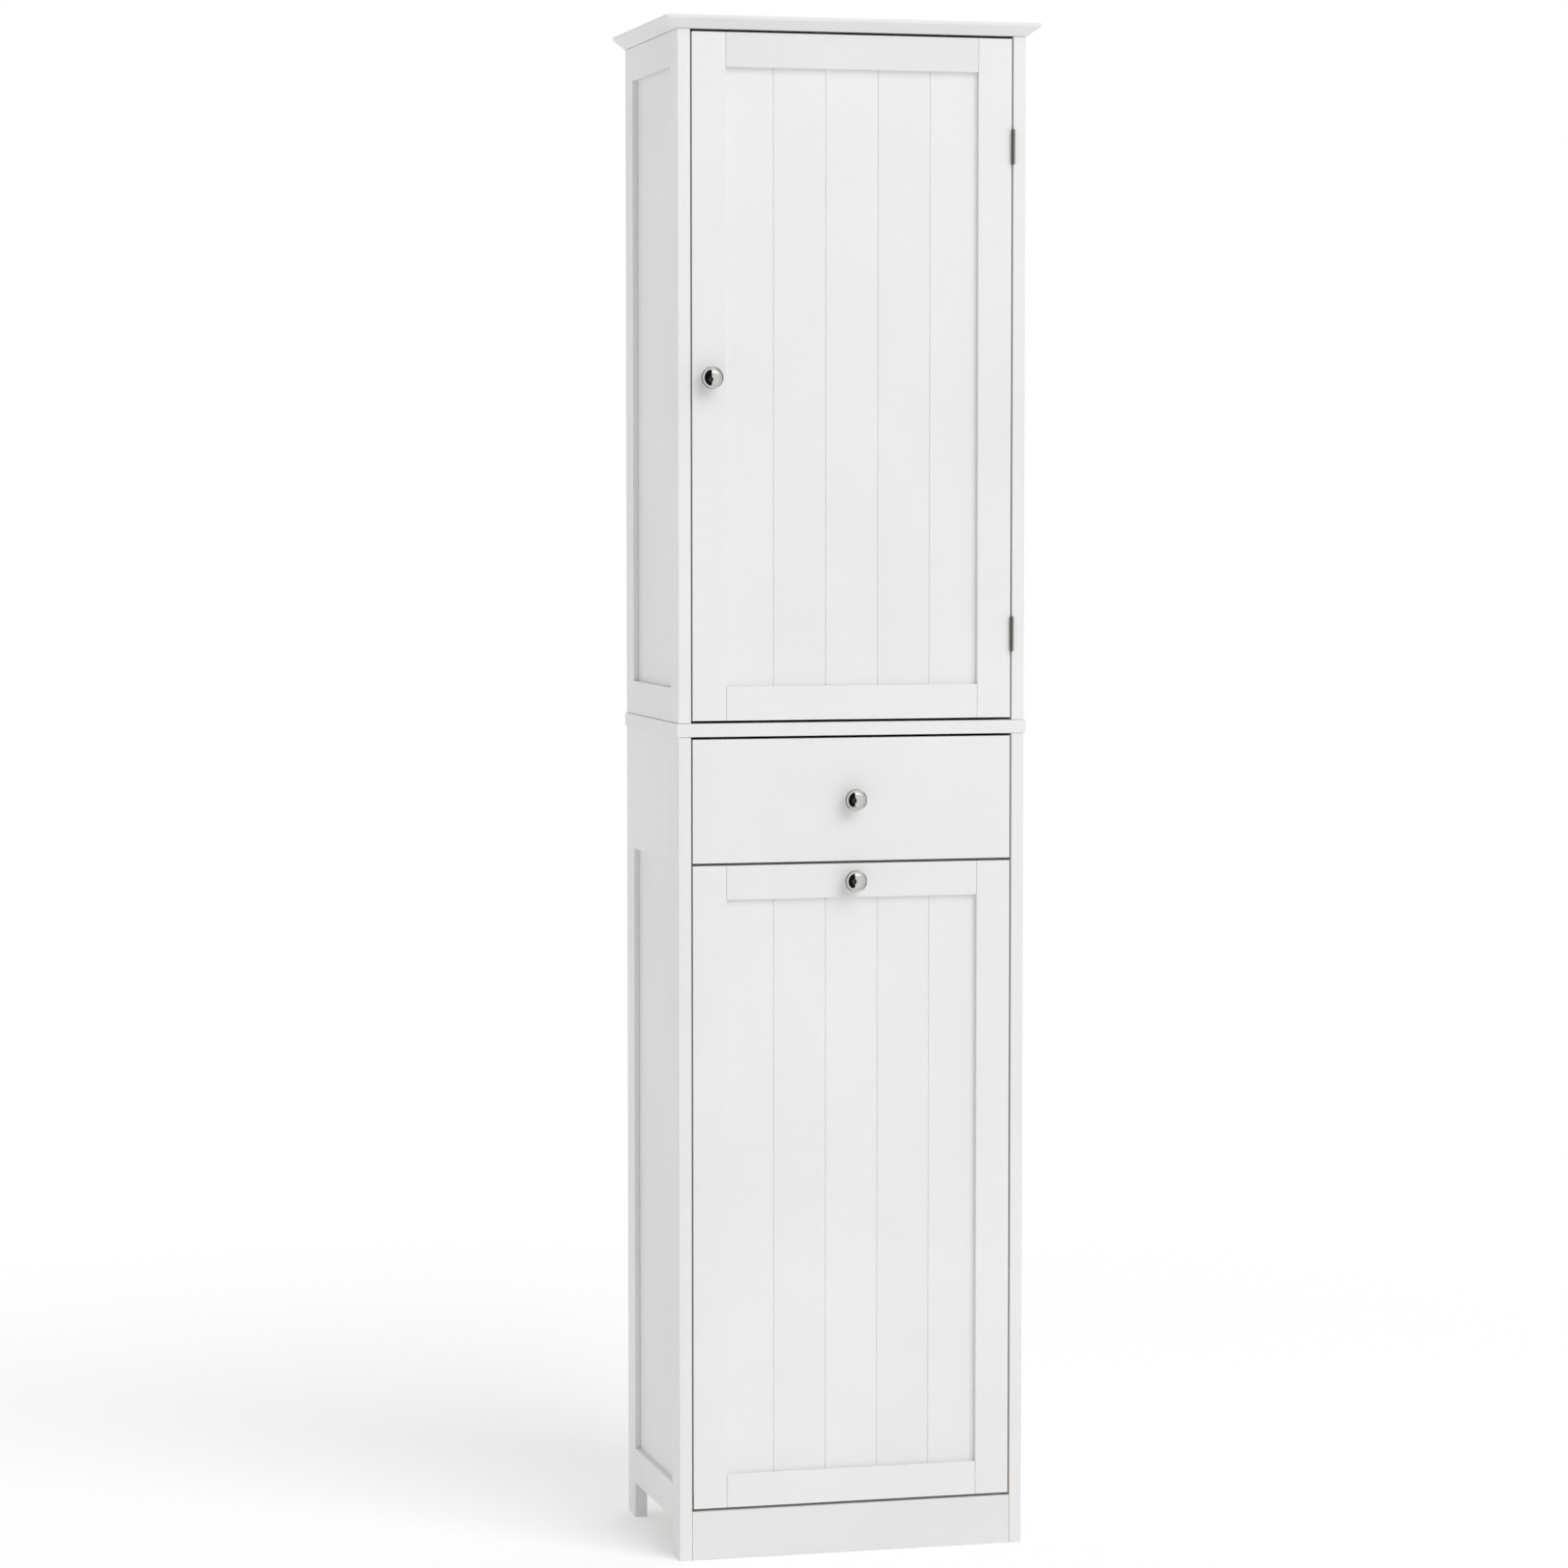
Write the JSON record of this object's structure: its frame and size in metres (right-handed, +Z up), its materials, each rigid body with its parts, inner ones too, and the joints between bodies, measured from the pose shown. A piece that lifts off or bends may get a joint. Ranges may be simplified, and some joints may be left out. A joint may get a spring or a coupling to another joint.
{
  "type": "bathroom cabinet",
  "caption": "Tall narrow bathroom cabinet with a panelled cupboard door above a drawer and a tilt-out laundry hamper, on short legs behind a plinth.",
  "frame": {"origin": "bottom centre of the whole object's box, on the floor", "axes": "+Z up, -Y out of the front with the door, drawer and flap, +X to the viewer's right"},
  "size_m": [0.424, 0.29, 1.7],
  "materials": {
    "white_paint": "satin white paint on smooth board",
    "inside_board": "matt white paint on board",
    "chrome": "polished chrome plating",
    "steel": "dull nickel-plated steel",
    "brass": "plain brass, a little dull",
    "plastic": "moulded white plastic"
  },
  "bodies": {
    "carcass": {"crown_board": "white_paint", "waist_board": "white_paint", "bottom_board": "inside_board", "drawer_divider": "inside_board", "plinth": "white_paint", "upper_back_panel": "inside_board", "lower_back_panel": "inside_board", "wall_rail": "inside_board", "upper_shelf": "inside_board", "lower_shelf": "inside_board", "shelf_pins": "steel", "left_upper_front_stile": "white_paint", "left_upper_rear_stile": "white_paint", "left_upper_rails": "white_paint", "left_upper_panel": "white_paint", "right_upper_front_stile": "white_paint", "right_upper_rear_stile": "white_paint", "right_upper_rails": "white_paint", "right_upper_panel": "white_paint", "left_front_leg": "white_paint", "left_rear_leg": "white_paint", "left_lower_rails": "white_paint", "left_lower_panel": "white_paint", "right_front_leg": "white_paint", "right_rear_leg": "white_paint", "right_lower_rails": "white_paint", "right_lower_panel": "white_paint", "left_drawer_runner": "plastic", "right_drawer_runner": "plastic", "door_catch": "plastic", "hinge_frame_leaves": "steel", "hinge_pins": "steel", "left_pivot_plate": "brass", "right_pivot_plate": "brass", "stop_pegs": "steel"},
    "door": {"door_left_stile": "white_paint", "door_right_stile": "white_paint", "door_top_rail": "white_paint", "door_low_rail": "white_paint", "door_panel": "white_paint", "door_knob": "chrome", "strike_plate": "steel", "hinge_door_leaves": "steel"},
    "drawer": {"drawer_front": "white_paint", "drawer_left_side": "inside_board", "drawer_right_side": "inside_board", "drawer_back": "inside_board", "drawer_bottom": "inside_board", "drawer_knob": "chrome"},
    "flap": {"flap_left_stile": "white_paint", "flap_right_stile": "white_paint", "flap_top_rail": "white_paint", "flap_low_rail": "white_paint", "flap_panel": "white_paint", "flap_knob": "chrome", "hamper_left_cheek": "inside_board", "hamper_right_cheek": "inside_board", "hamper_back": "inside_board", "hamper_bottom": "inside_board"}
  },
  "joints": [
    {"name": "door_hinge", "type": "hinge", "parent": "carcass", "child": "door", "pos_m": [0.18255, -0.1254, 1.30815], "axis": [0, 0, 1], "range_deg": [0, 170]},
    {"name": "drawer_slide", "type": "slide", "parent": "carcass", "child": "drawer", "axis": [0, -1, 0], "range_m": [0, 0.17]},
    {"name": "flap_tilt", "type": "hinge", "parent": "carcass", "child": "flap", "pos_m": [0, -0.1175, 0.0649], "axis": [1, 0, 0], "range_deg": [0, 35]}
  ]
}
